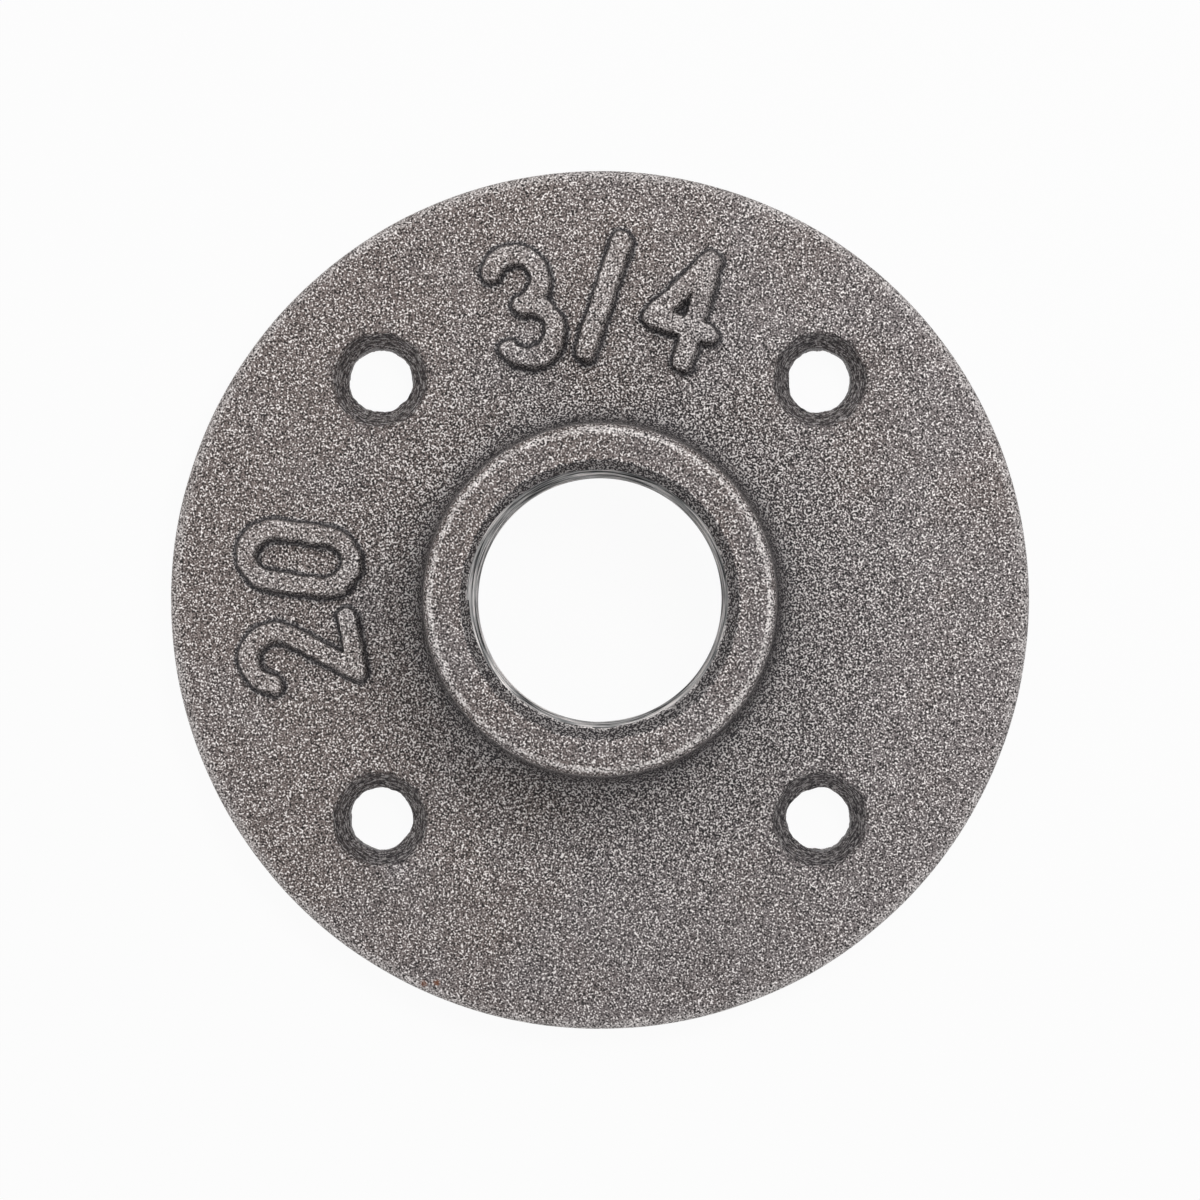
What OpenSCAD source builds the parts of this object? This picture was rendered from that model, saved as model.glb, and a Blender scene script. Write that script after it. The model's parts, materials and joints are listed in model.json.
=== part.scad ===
// Threaded floor flange: a sand-cast iron disc with a tapped hub and countersunk screw holes.
// Origin at the middle of the flat back face, +Z along the pipe axis towards the hub's mouth.

/* [Disc] */
// Diameter of the disc at its widest, where the rim meets the back face
disc_d = 87; // [76:0.5:120]
// Thickness of the disc
disc_t = 5; // [4:0.1:10]
// Draft of the rim, in degrees, that lets the pattern leave the sand
rim_draft = 2; // [0:0.5:8]
// Radius on the front edge of the rim
rim_front_r = 1; // [0.2:0.1:1.5]
// Radius on the back edge of the rim
rim_back_r = 0.4; // [0.1:0.1:1]

/* [Hub] */
// Height of the hub above the front of the disc
hub_rise = 15; // [8:0.5:40]
// Wall of the hub at its mouth, from the bore to the outside
hub_wall = 4.95; // [3.5:0.05:9]
// Draft of the hub's side, in degrees
hub_draft = 2.5; // [0:0.5:8]
// Radius on the outer edge of the hub's mouth
hub_edge_r = 1; // [0.2:0.1:1.5]
// Radius of the fillet where the hub stands on the disc
hub_foot_r = 2.2; // [0.5:0.1:4]

/* [Pipe thread] */
// Diameter of the bore, which is the minor diameter of the pipe thread
bore_d = 24.7; // [14:0.1:32]
// Width of the 45 degree lead-in at the hub's mouth
mouth_chamfer = 1.35; // [0.2:0.05:2]
// Width of the 45 degree chamfer at the back of the bore
back_chamfer = 0.6; // [0.1:0.05:1.5]

/* [Screw holes] */
// Number of screw holes
hole_count = 4; // [3:1:6]
// Diameter of the circle that the screw holes lie on
hole_circle_d = 62.7; // [56:0.1:72]
// Diameter of a screw hole
hole_d = 6.4; // [3:0.1:8]
// Width of the countersink around a screw hole, seen from the front
sink_w = 1.65; // [0.5:0.05:2.5]
// Included angle of the countersink, in degrees
sink_angle = 90; // [60:1:120]
// Radius on the cast lip of the countersink
sink_lip_r = 0.3; // [0.1:0.05:0.6]

/* [Hidden] */
$fn = 96;

// How far a cutting shape runs past the face that it cuts
overcut = 1;
// What an arc is drawn larger by, so that it crosses the edges that it blends
hair = 0.0002;
// Angle of the first screw hole, so that the pattern stands square
first_hole_angle = 180 / hole_count;

full_h = disc_t + hub_rise;
disc_r = disc_d / 2;
bore_r = bore_d / 2;
hole_r = hole_d / 2;
hub_r = bore_r + hub_wall;
hub_foot_corner_r = hub_r + hub_rise * tan(hub_draft);
rim_front_corner_r = disc_r - disc_t * tan(rim_draft);
sink_r = hole_r + sink_w;
sink_slope = 90 - sink_angle / 2;

function unit(angle) = [cos(angle), sin(angle)];

// What an arc of radius r takes off, or fills in, at the corner p whose edges leave it at angles a and b.
// It runs a little past the corner, and its arc is a hair large, so that it crosses the edges of the
// section and nowhere lies along them.
module corner_sliver(p, a, b, r) {
    half = (b - a) / 2;
    reach = r / tan(half);
    inward = unit(a + half);
    centre = p + r / sin(half) * inward;
    difference() {
        polygon([p - r / 2 * inward, p + reach * unit(a), centre, p + reach * unit(b)]);
        translate(centre) circle(r + hair);
    }
}

// Half section of the casting with sharp edges: back, rim, disc face, hub side, mouth and bore
module sharp_section() {
    polygon([
        [bore_r + back_chamfer, 0],
        [disc_r, 0],
        [rim_front_corner_r, disc_t],
        [hub_foot_corner_r, disc_t],
        [hub_r, full_h],
        [bore_r + mouth_chamfer, full_h],
        [bore_r, full_h - mouth_chamfer],
        [bore_r, back_chamfer],
    ]);
}

// Half section as it is cast, with the foot of the hub filled and the edges rounded
module cast_section() {
    difference() {
        union() {
            sharp_section();
            corner_sliver([hub_foot_corner_r, disc_t], 0, 90 + hub_draft, hub_foot_r);
        }
        corner_sliver([hub_r, full_h], 180, 270 + hub_draft, hub_edge_r);
        corner_sliver([rim_front_corner_r, disc_t], 180, 270 + rim_draft, rim_front_r);
        corner_sliver([disc_r, 0], 90 + rim_draft, 180, rim_back_r);
    }
}

// What one screw hole removes: a straight hole, its countersink and the round of the cast lip
module screw_hole() {
    sink_depth = sink_w * tan(sink_slope);
    rotate_extrude() {
        polygon([
            [0, -overcut],
            [hole_r, -overcut],
            [hole_r, disc_t - sink_depth],
            [sink_r, disc_t],
            [sink_r, disc_t + overcut],
            [0, disc_t + overcut],
        ]);
        corner_sliver([sink_r, disc_t], 180 + sink_slope, 360, sink_lip_r);
    }
}

module floor_flange() {
    color([0.50, 0.47, 0.46]) difference() {
        rotate_extrude() cast_section();
        for (i = [0 : hole_count - 1])
            rotate(first_hole_angle + i * 360 / hole_count)
                translate([hole_circle_d / 2, 0, 0]) screw_hole();
    }
}

floor_flange();
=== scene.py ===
import json
import math
from collections import Counter
from functools import partial
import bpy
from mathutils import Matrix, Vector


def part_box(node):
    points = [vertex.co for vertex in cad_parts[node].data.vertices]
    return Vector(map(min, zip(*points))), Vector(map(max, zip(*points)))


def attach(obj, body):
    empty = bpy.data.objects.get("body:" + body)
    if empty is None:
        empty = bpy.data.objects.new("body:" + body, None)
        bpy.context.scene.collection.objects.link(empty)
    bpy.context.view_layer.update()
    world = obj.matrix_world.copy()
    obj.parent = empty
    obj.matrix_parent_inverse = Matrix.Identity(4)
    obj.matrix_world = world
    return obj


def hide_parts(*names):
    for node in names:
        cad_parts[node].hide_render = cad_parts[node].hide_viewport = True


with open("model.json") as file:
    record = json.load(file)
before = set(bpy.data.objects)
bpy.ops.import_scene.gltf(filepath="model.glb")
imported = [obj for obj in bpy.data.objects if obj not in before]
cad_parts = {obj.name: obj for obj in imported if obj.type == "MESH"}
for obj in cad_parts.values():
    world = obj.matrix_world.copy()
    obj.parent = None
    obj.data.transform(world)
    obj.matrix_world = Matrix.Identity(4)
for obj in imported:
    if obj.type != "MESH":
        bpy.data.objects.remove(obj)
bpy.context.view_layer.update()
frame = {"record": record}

from types import SimpleNamespace

import bpy
from mathutils import Vector

bl_info = {
    "name": "Sand-cast floor flange",
    "version": (1, 0, 0),
    "blender": (4, 5, 0),
    "location": "3D View > Sidebar > Flange",
    "description": "Casts a threaded floor flange around its CAD part and sets a studio for it",
    "category": "Add Mesh",
}

MM = 0.001
CAD_NODE = "floor_flange"
CAD_LOW, CAD_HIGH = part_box(CAD_NODE)
MOUNT_DIMS = {mount["name"]: mount["dims"] for mount in frame["record"]["mounts"]}
PIPE = MOUNT_DIMS["pipe_thread"]
SCREWS = MOUNT_DIMS["screw_holes"]
INCH = 25.4 * MM


def linear(hex_colour):
    """Linear RGB of an sRGB hex colour."""
    channels = [int(hex_colour[i:i + 2], 16) / 255 for i in (1, 3, 5)]
    return [c / 12.92 if c <= 0.04045 else ((c + 0.055) / 1.055) ** 2.4 for c in channels]


class FlangeSizes(bpy.types.PropertyGroup):
    """Sizes of the casting"""

    disc_diameter: bpy.props.FloatProperty(
        name="Disc diameter", description="Diameter of the disc at its widest",
        default=CAD_HIGH.x - CAD_LOW.x, unit="LENGTH")
    disc_thickness: bpy.props.FloatProperty(
        name="Disc thickness", description="From the back face to the front face",
        default=5 * MM, unit="LENGTH")
    rim_draft: bpy.props.FloatProperty(
        name="Rim draft", description="Slope that lets the rim leave the sand",
        default=math.radians(2), subtype="ANGLE")
    rim_front_round: bpy.props.FloatProperty(
        name="Rim front round", description="Radius on the front edge of the rim",
        default=1 * MM, unit="LENGTH")
    rim_back_round: bpy.props.FloatProperty(
        name="Rim back round", description="Radius on the back edge of the rim",
        default=0.4 * MM, unit="LENGTH")
    total_height: bpy.props.FloatProperty(
        name="Total height", description="From the back face to the hub's mouth",
        default=CAD_HIGH.z - CAD_LOW.z, unit="LENGTH")
    hub_wall: bpy.props.FloatProperty(
        name="Hub wall", description="Wall of the hub at its mouth",
        default=4.95 * MM, unit="LENGTH")
    hub_draft: bpy.props.FloatProperty(
        name="Hub draft", description="Slope of the hub's side",
        default=math.radians(2.5), subtype="ANGLE")
    hub_edge_round: bpy.props.FloatProperty(
        name="Hub edge round", description="Radius on the outer edge of the hub's mouth",
        default=1 * MM, unit="LENGTH")
    hub_foot_fillet: bpy.props.FloatProperty(
        name="Hub foot fillet", description="Radius where the hub stands on the disc",
        default=2.2 * MM, unit="LENGTH")
    bore_diameter: bpy.props.FloatProperty(
        name="Bore diameter", description="Across the crests of the pipe thread",
        default=2 * PIPE["r_mm"] * MM, unit="LENGTH")
    thread_root_diameter: bpy.props.FloatProperty(
        name="Thread root diameter", description="Across the roots of the pipe thread",
        default=26.44 * MM, unit="LENGTH")
    thread_pitch: bpy.props.FloatProperty(
        name="Thread pitch", description="Height of one turn, at 14 turns an inch",
        default=INCH / 14, unit="LENGTH")
    mouth_chamfer: bpy.props.FloatProperty(
        name="Mouth chamfer", description="Width of the lead-in at the hub's mouth",
        default=1.35 * MM, unit="LENGTH")
    back_chamfer: bpy.props.FloatProperty(
        name="Back chamfer", description="Width of the chamfer at the back of the bore",
        default=0.6 * MM, unit="LENGTH")
    hole_count: bpy.props.IntProperty(
        name="Screw holes", description="Number of screw holes", default=SCREWS["count"])
    hole_circle_diameter: bpy.props.FloatProperty(
        name="Hole circle diameter", description="Circle that the screw holes lie on",
        default=SCREWS["pcd_mm"] * MM, unit="LENGTH")
    hole_diameter: bpy.props.FloatProperty(
        name="Hole diameter", description="Diameter of a screw hole",
        default=2 * SCREWS["hole_r_mm"] * MM, unit="LENGTH")
    sink_width: bpy.props.FloatProperty(
        name="Countersink width", description="Width of the countersink round a hole",
        default=1.65 * MM, unit="LENGTH")
    sink_lip_round: bpy.props.FloatProperty(
        name="Countersink lip", description="Radius on the lip of the countersink",
        default=0.3 * MM, unit="LENGTH")
    hole_raggedness: bpy.props.FloatProperty(
        name="Hole raggedness", description="How far the cast wall of a hole wanders",
        default=0.28 * MM, unit="LENGTH")
    mark_rise: bpy.props.FloatProperty(
        name="Size mark rise", description="How far the size marks stand off the disc",
        default=1.2 * MM, unit="LENGTH")
    mark_stroke: bpy.props.FloatProperty(
        name="Size mark stroke", description="Width of a stroke at half its height",
        default=2.1 * MM, unit="LENGTH")
    mark_circle_radius: bpy.props.FloatProperty(
        name="Size mark circle", description="Radius that the size marks are centred on",
        default=30.7 * MM, unit="LENGTH")
    skin_unevenness: bpy.props.FloatProperty(
        name="Skin unevenness", description="How far the cast skin sinks in places",
        default=0.1 * MM, unit="LENGTH")


class FlangeFinish(bpy.types.PropertyGroup):
    """Colours and grain of the cast skin"""

    warm_skin: bpy.props.FloatVectorProperty(
        name="Warm skin", description="Oxide skin where it is brownish",
        default=linear("#7b6f6b"), subtype="COLOR")
    cool_skin: bpy.props.FloatVectorProperty(
        name="Cool skin", description="Oxide skin where it is bluish",
        default=linear("#807878"), subtype="COLOR")
    cut_iron: bpy.props.FloatVectorProperty(
        name="Cut iron", description="Iron that the tap laid bare",
        default=linear("#777c7e"), subtype="COLOR")
    # Also the colour of the painted shade in the recesses: the chamfer, the countersinks, the hub's foot
    # and round the size marks
    dust_and_shade: bpy.props.FloatVectorProperty(
        name="Dust", description="Black sand dust that stays in the recesses",
        default=linear("#2a282c"), subtype="COLOR")
    # Also the colour of the painted glints on the grains' tops and of the painted highlights along the
    # edges
    bare_iron_and_highlight: bpy.props.FloatVectorProperty(
        name="Bright grain", description="Tops of the grains, rubbed to bare iron",
        default=linear("#fff9f7"), subtype="COLOR")
    rust: bpy.props.FloatVectorProperty(
        name="Rust", description="Specks of rust at the rim",
        default=linear("#7a4a30"), subtype="COLOR")
    grain_size: bpy.props.FloatProperty(
        name="Grain size", description="Width of a grain of the skin, as coarse as it needs to show",
        default=0.183 * MM, unit="LENGTH")
    grain_depth: bpy.props.FloatProperty(
        name="Grain depth", description="Depth of the pits between the grains",
        default=0.1 * MM, unit="LENGTH")
    grain_contrast: bpy.props.FloatProperty(
        name="Grain contrast", description="How much the tone changes with a grain's height",
        default=3.35)
    glint_contrast: bpy.props.FloatProperty(
        name="Glint contrast",
        description="How much more it changes on the highest grains and in the deepest pits",
        default=38.0)


class FlangeStudio(bpy.types.PropertyGroup):
    """Camera, light and floor"""

    camera_height: bpy.props.FloatProperty(
        name="Camera height", description="Height of the camera over the floor",
        default=500 * MM, unit="LENGTH")
    frame_width: bpy.props.FloatProperty(
        name="Frame width", description="Width of the picture at the front of the disc",
        default=120.92 * MM, unit="LENGTH")
    key_power: bpy.props.FloatProperty(
        name="Key light", description="Power of the large softbox", default=1.2, unit="POWER")
    bounce_power: bpy.props.FloatProperty(
        name="Bounce card", description="Power of the white card at the lower left",
        default=0.12, unit="POWER")
    fill_power: bpy.props.FloatProperty(
        name="Fill light", description="Power of the small softbox at the upper right",
        default=0.34, unit="POWER")
    sky: bpy.props.FloatProperty(
        name="Sky", description="Brightness of the white room around", default=0.2)
    floor_whiteness: bpy.props.FloatProperty(
        name="Floor whiteness", description="Share of the floor that shows plain white to the camera",
        default=0.95, subtype="FACTOR")


def add_node(tree, kind, inputs=None, **settings):
    """Adds a node, applies its settings, and fills or links each input by name or number."""
    node = tree.nodes.new(kind)
    for name, value in settings.items():
        setattr(node, name, value)
    for key, value in (inputs or {}).items():
        if isinstance(value, bpy.types.NodeSocket):
            tree.links.new(value, node.inputs[key])
        else:
            node.inputs[key].default_value = value
    return node.outputs


# Sketches

# Length of a step along a rounded corner
ARC_STEP = 0.22 * MM


def corner_arc(before, corner, after, rounding):
    """Points of the arc that rounds a corner, or the corner itself where it stays sharp."""
    if rounding == 0:
        return [corner]
    to_before = (before - corner).normalized()
    to_after = (after - corner).normalized()
    half = to_before.angle(to_after) / 2
    centre = corner + (to_before + to_after).normalized() * (rounding / math.sin(half))
    first = corner + to_before * (rounding / math.tan(half)) - centre
    turn = first.angle_signed(corner + to_after * (rounding / math.tan(half)) - centre)
    steps = max(2, math.ceil(abs(turn) * rounding / ARC_STEP))
    start = math.atan2(first.y, first.x)
    angles = [start - turn * i / steps for i in range(steps + 1)]
    return [centre + rounding * Vector((math.cos(a), math.sin(a))) for a in angles]


def half_section(corners, closed):
    """Points (r, z) of a half section. A corner is (r, z, rounding, spacing of the edge after it)."""
    count = len(corners)
    places = [Vector(corner[:2]) for corner in corners]
    arcs = [
        corner_arc(places[i - 1], places[i], places[(i + 1) % count], corners[i][2])
        for i in range(count)
    ]
    points = []
    for i, arc in enumerate(arcs):
        points += arc
        if i == count - 1 and not closed:
            break
        following = arcs[(i + 1) % count][0]
        edge = following - arc[-1]
        steps = max(1, round(edge.length / corners[i][3]))
        points += [arc[-1] + edge * (k / steps) for k in range(1, steps)]
    if closed:
        points.append(points[0])
    return points


def wire_object(name, lines):
    """A helper object of loose edges along the given lines of 3D points."""
    points = [point for line in lines for point in line]
    edges = []
    first = 0
    for line in lines:
        edges += [(first + i, first + i + 1) for i in range(len(line) - 1)]
        first += len(line)
    mesh = bpy.data.meshes.new(name)
    mesh.from_pydata(points, edges, [])
    wire = bpy.data.objects.new(name, mesh)
    bpy.context.scene.collection.objects.link(wire)
    return wire


def casting_section(sizes):
    """Half section of the casting, from the back face round the rim and hub to the bore."""
    bore = sizes.bore_diameter / 2
    hub = bore + sizes.hub_wall
    rim = sizes.disc_diameter / 2 + sizes.rim_back_round * math.tan(sizes.rim_draft)
    thick = sizes.disc_thickness
    tall = sizes.total_height
    foot = hub + (tall - thick) * math.tan(sizes.hub_draft)
    rim_front = rim - thick * math.tan(sizes.rim_draft)
    mouth = sizes.mouth_chamfer
    mouth_round = 0.3 * MM
    back = sizes.back_chamfer
    back_round = 0.15 * MM
    return half_section([
        (bore + back, 0, back_round, 1.5 * MM),
        (rim, 0, sizes.rim_back_round, 0.6 * MM),
        (rim_front, thick, sizes.rim_front_round, 0.6 * MM),
        (foot, thick, sizes.hub_foot_fillet, 0.8 * MM),
        (hub, tall, sizes.hub_edge_round, 0.4 * MM),
        (bore + mouth, tall, mouth_round, 0.15 * MM),
        (bore, tall - mouth, 0, sizes.thread_pitch / 10),
        (bore, back, 0, 0.15 * MM),
    ], closed=True)


def hole_section(sizes):
    """Half section of what one screw hole removes, past both faces of the disc."""
    hole = sizes.hole_diameter / 2
    sink = hole + sizes.sink_width
    thick = sizes.disc_thickness
    throat_round = 0.3 * MM
    past = 1 * MM
    flare = 0.15 * MM
    return half_section([
        (0, -past, 0, hole),
        (hole, -past, 0, 0.3 * MM),
        (hole, thick - sizes.sink_width, throat_round, 0.25 * MM),
        (sink, thick, sizes.sink_lip_round, 0.25 * MM),
        (sink + 2 * sizes.sink_lip_round, thick + flare, 0, past),
        (sink + 2 * sizes.sink_lip_round, thick + past, 0, sink),
        (0, thick + past, 0, past),
    ], closed=False)


# Strokes of the plain figures of the size marks, in millimetres about each figure's centre

def bow(x, y, rx, ry, start, end):
    """Points of an elliptic arc, with its start and end in degrees."""
    steps = max(2, round(abs(end - start) / 12))
    angles = [math.radians(start + (end - start) * i / steps) for i in range(steps + 1)]
    return [(x + rx * math.cos(a), y + ry * math.sin(a)) for a in angles]


FIGURES = {
    "0": [bow(0, 2.5, 2.6, 2.8, 0, 180) + bow(0, -2.5, 2.6, 2.8, 180, 360) + [(2.6, 2.5)]],
    "2": [bow(0, 2.5, 2.6, 2.8, 165, -35) + [(-2.6, -5.3), (2.8, -5.3)]],
    "3": [bow(0, 2.7, 2.5, 2.6, 150, -90), bow(0, -2.6, 2.7, 2.7, 90, -150)],
    "4": [[(1.3, -5.3), (1.3, 5.3), (-2.9, -1.9), (3.0, -1.9)]],
    "/": [[(-1.8, -5.6), (1.8, 5.6)]],
}

# The nominal bore in inches and in millimetres: each figure, with its top towards the rim, and the angle of
# its centre in degrees
SIZE_MARKS = [("3", 105), ("/", 89.5), ("4", 74), ("2", 190), ("0", 172)]


def mark_lines(sizes):
    """Centre lines of the size marks on the front face of the disc."""
    lines = []
    for figure, degrees in SIZE_MARKS:
        angle = math.radians(degrees)
        up = Vector((math.cos(angle), math.sin(angle), 0))
        along = Vector((up.y, -up.x, 0))
        centre = up * sizes.mark_circle_radius + Vector((0, 0, sizes.disc_thickness))
        for stroke in FIGURES[figure]:
            lines.append([centre + along * (x * MM) + up * (y * MM) for x, y in stroke])
    return lines


# Geometry Nodes

# Points closer together than this are merged
WELD = 0.001 * MM

# Attribute that keeps a cutter's points as they lie about the axis of their own screw hole
FROM_HOLE_AXIS = "from_hole_axis"

# Lengths of the waves in the walls of the cast holes and in the skin
RAGGED_WAVE = 2.2 * MM
SWALE_WAVE = 9 * MM

# How far the lip of a countersink wanders
LIP_RAGGEDNESS = 0.25 * MM

# Length of the waves in the strokes of the size marks, and how far the strokes wander
MARK_WAVE = 1.3 * MM
MARK_WANDER = 0.6 * MM

# Shift of the size marks' second, longer flank towards the lower right, over which the dark band paints a
# wider shadow on that side
SHADOW_SIDE_SHIFT = (-0.28 * MM, 0.32 * MM, 0)

# Section of a stroke, in stroke widths from its centre line: where its crown begins to fall, the top and
# foot of its crisp flank, and the top and foot of its shifted flank, which carries the painted shadow
CROWN_EDGE = 0.15
FLANK_TOP, FLANK_FOOT = 0.4, 0.5
SHIFTED_TOP, SHIFTED_FOOT = 0.25, 0.52

# Shares of a stroke's rise in its flank, its low skirt and its crown, and what its edge is buried by
FLANK_SHARE = 0.67
SKIRT_SHARE = 0.25
CROWN_SHARE = 0.08
BURIED_SHARE = 0.03

# Shares of the pitch, from the middle of a root: where the root's flat ends and the crest's flat begins
ROOT_FLAT = 0.07
CREST_FLAT = 0.43


def new_tree(name, inputs):
    """A geometry tree with its inputs as (name, kind of socket), its input and output nodes."""
    tree = bpy.data.node_groups.new(name, "GeometryNodeTree")
    for socket, kind in inputs:
        tree.interface.new_socket(socket, in_out="INPUT", socket_type="NodeSocket" + kind)
    tree.interface.new_socket("Geometry", in_out="OUTPUT", socket_type="NodeSocketGeometry")
    given = tree.nodes.new("NodeGroupInput").outputs
    return tree, given, tree.nodes.new("NodeGroupOutput")


def turning_tree():
    """Turns a half section of loose edges, at (r, 0, z), once round the Z axis."""
    tree, given, result = new_tree("Turn section", [("Section", "Geometry"), ("Segments", "Int")])
    node = partial(add_node, tree)
    rows = node("GeometryNodeAttributeDomainSize", {0: given["Section"]})["Point Count"]
    columns = node("FunctionNodeIntegerMath", {0: given["Segments"], 1: 1}, operation="ADD")[0]
    grid = node("GeometryNodeMeshGrid", {"Vertices X": columns, "Vertices Y": rows})["Mesh"]
    index = node("GeometryNodeInputIndex")[0]
    row = node("FunctionNodeIntegerMath", {0: index, 1: rows}, operation="MODULO")[0]
    column = node("FunctionNodeIntegerMath", {0: index, 1: rows}, operation="DIVIDE_FLOOR")[0]
    place = node("GeometryNodeInputPosition")[0]
    sampled = node(
        "GeometryNodeSampleIndex", {"Geometry": given["Section"], "Value": place, "Index": row},
        data_type="FLOAT_VECTOR")["Value"]
    share = node("ShaderNodeMath", {0: column, 1: given["Segments"]}, operation="DIVIDE")[0]
    angle = node("ShaderNodeMath", {0: share, 1: math.tau}, operation="MULTIPLY")[0]
    turned = node(
        "ShaderNodeVectorRotate", {"Vector": sampled, "Angle": angle}, rotation_type="Z_AXIS")[0]
    placed = node("GeometryNodeSetPosition", {"Geometry": grid, "Position": turned})[0]
    closed = node("GeometryNodeMergeByDistance", {"Geometry": placed, "Distance": WELD})[0]
    tree.links.new(closed, result.inputs[0])
    return tree


def round_axis(node, place):
    """The axes of a place, its offset from the Z axis, and the length and the angle of that offset."""
    axes = node("ShaderNodeSeparateXYZ", {0: place})
    flat = node("ShaderNodeVectorMath", {0: place, 1: (1, 1, 0)}, operation="MULTIPLY")[0]
    radius = node("ShaderNodeVectorMath", {0: flat}, operation="LENGTH")["Value"]
    angle = node("ShaderNodeMath", {0: axes["Y"], 1: axes["X"]}, operation="ARCTAN2")[0]
    return axes, flat, radius, angle


def thread_wall(node, angle, height, pitch, root, crest):
    """Radius of a right-hand thread's wall, from its roots to its crests and back once a turn."""
    turns = node("ShaderNodeMath", {0: angle, 1: math.tau}, operation="DIVIDE")[0]
    climb = node("ShaderNodeMath", {0: height, 1: pitch}, operation="DIVIDE")[0]
    lead = node("ShaderNodeMath", {0: climb, 1: turns}, operation="SUBTRACT")[0]
    from_root = node("ShaderNodeMath", {0: lead, 1: 0.5}, operation="PINGPONG")[0]
    return node("ShaderNodeMapRange", {
        "Value": from_root, "From Min": ROOT_FLAT, "From Max": CREST_FLAT,
        "To Min": root, "To Max": crest})[0]


def hole_cutters(node, given, turning, place, seeded):
    """The same cutter at each screw hole, with its wall left as ragged as the sand."""
    sketch = node("GeometryNodeObjectInfo", {"Object": given["Hole section"]})["Geometry"]
    cutter = node("GeometryNodeGroup", {
        "Section": sketch, "Segments": given["Hole segments"]}, node_tree=turning)[0]
    kept = node("GeometryNodeStoreNamedAttribute", {
        "Geometry": cutter, "Name": FROM_HOLE_AXIS, "Value": place}, data_type="FLOAT_VECTOR")[0]
    circle = node("GeometryNodeMeshCircle", {
        "Vertices": given["Hole count"], "Radius": given["Hole circle radius"]})["Mesh"]
    half_gap = node("ShaderNodeMath", {0: math.pi, 1: given["Hole count"]}, operation="DIVIDE")[0]
    turn = node("ShaderNodeCombineXYZ", {2: half_gap})[0]
    squared = node("GeometryNodeTransform", {"Geometry": circle, "Rotation": turn})[0]
    instances = node("GeometryNodeInstanceOnPoints", {"Points": squared, "Instance": kept})[0]
    cutters = node("GeometryNodeRealizeInstances", {"Geometry": instances})[0]

    from_axis = node(
        "GeometryNodeInputNamedAttribute", {"Name": FROM_HOLE_AXIS}, data_type="FLOAT_VECTOR")[0]
    height = node("ShaderNodeSeparateXYZ", {0: from_axis})["Z"]
    level = node("ShaderNodeVectorMath", {0: from_axis, 1: (1, 1, 0)}, operation="MULTIPLY")[0]
    outward = node("ShaderNodeVectorMath", {0: level}, operation="NORMALIZE")[0]
    ragged = node("ShaderNodeTexNoise", {
        "Vector": seeded, "Scale": 1 / RAGGED_WAVE, "Detail": 3.0, "Roughness": 0.6})["Fac"]
    either_way = node("ShaderNodeMapRange", {
        "Value": ragged, "From Min": 0.2, "From Max": 0.8, "To Min": -1.0, "To Max": 1.0})[0]
    reach = node("ShaderNodeMapRange", {
        "Value": height, "From Min": given["Sink floor"], "From Max": given["Face height"],
        "To Min": given["Raggedness"], "To Max": LIP_RAGGEDNESS})[0]
    wander = node("ShaderNodeMath", {0: either_way, 1: reach}, operation="MULTIPLY")[0]
    offset = node("ShaderNodeVectorMath", {0: outward, "Scale": wander}, operation="SCALE")[0]
    return node("GeometryNodeSetPosition", {"Geometry": cutters, "Offset": offset})[0]


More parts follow.
